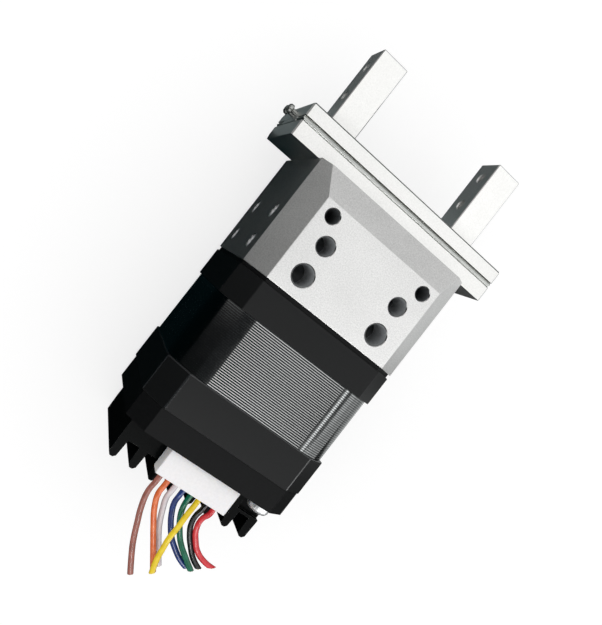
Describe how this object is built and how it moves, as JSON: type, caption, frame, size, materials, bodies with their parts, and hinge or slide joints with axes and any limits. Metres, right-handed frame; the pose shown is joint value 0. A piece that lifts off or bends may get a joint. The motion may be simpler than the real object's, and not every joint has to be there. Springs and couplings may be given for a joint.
{
  "type": "electric two finger gripper",
  "caption": "Electric parallel gripper: a square stepper motor drives two racks that slide a pair of straight fingers along a guide.",
  "frame": {"origin": "middle of the back face's plane, half way along the whole length without leads", "axes": "+X along the fingers' travel, +Y towards the fingertips, +Z out of the front face with the tapped holes"},
  "size_m": [0.062, 0.1236, 0.0423],
  "materials": {
    "blasted_aluminium": "satin",
    "hard_steel": "satin",
    "black_steel": "satin",
    "plated_steel": "gloss",
    "lamination_steel": "satin",
    "black_paint": "satin",
    "black_anodised": "satin",
    "black_plastic": "matte",
    "enamelled_copper": "gloss",
    "circuit_green": "gloss",
    "white_nylon": "matte",
    "plated_brass": "gloss",
    "pvc_brown": "satin",
    "pvc_orange": "satin",
    "pvc_white": "satin",
    "pvc_blue": "satin",
    "pvc_green": "satin",
    "pvc_yellow": "satin",
    "pvc_black": "satin",
    "pvc_red": "satin"
  },
  "bodies": {
    "base": {"gripper_body": "blasted_aluminium", "guide_base": "blasted_aluminium", "guide_cover": "blasted_aluminium", "upper_guide_strip": "hard_steel", "lower_guide_strip": "hard_steel", "base_screws": "black_steel", "cover_screws": "black_steel", "end_studs": "black_steel", "motor_shim": "black_plastic", "motor_front_cap": "black_paint", "front_bearing": "hard_steel", "front_winding": "enamelled_copper", "stator_stack": "lamination_steel", "rear_winding": "enamelled_copper", "rear_bearing": "hard_steel", "motor_rear_cap": "black_paint", "motor_screws": "black_steel", "pan_head_screw": "plated_steel", "driver_housing": "black_plastic", "driver_board": "circuit_green", "sensor_chip": "black_plastic", "driver_chips": "black_plastic", "heatsink": "black_anodised", "heatsink_screws": "black_steel", "connector_header": "white_nylon", "connector_pins": "plated_brass", "plug_housing": "white_nylon", "lead_brown": "pvc_brown", "lead_orange": "pvc_orange", "lead_white": "pvc_white", "lead_blue": "pvc_blue", "lead_green": "pvc_green", "lead_yellow": "pvc_yellow", "lead_black": "pvc_black", "lead_red": "pvc_red"},
    "left_jaw": {"left_finger": "blasted_aluminium", "left_slider": "hard_steel", "left_rack": "hard_steel", "left_finger_screws": "black_steel", "left_rack_screw": "black_steel"},
    "right_jaw": {"right_finger": "blasted_aluminium", "right_slider": "hard_steel", "right_rack": "hard_steel", "right_finger_screws": "black_steel", "right_rack_screw": "black_steel"},
    "rotor": {"motor_shaft": "hard_steel", "pinion": "hard_steel", "rotor_core": "lamination_steel", "sensor_magnet": "lamination_steel"}
  },
  "joints": [
    {"name": "left_slide", "type": "slide", "parent": "base", "child": "left_jaw", "axis": [1, 0, 0], "range_m": [0, 0.0138]},
    {"name": "rotor_turn", "type": "hinge", "parent": "base", "child": "rotor", "pos_m": [0, -0.00325, 0.02115], "axis": [0, 1, 0], "range_deg": [0, 164.8]},
    {"name": "right_slide", "type": "slide", "parent": "base", "child": "right_jaw", "axis": [-1, 0, 0], "range_m": [0, 0.0138]}
  ],
  "couplings": [
    {"joint": "rotor_turn", "follows": "left_slide", "rad_per_m": 208.33},
    {"joint": "right_slide", "follows": "left_slide", "ratio": 1}
  ]
}
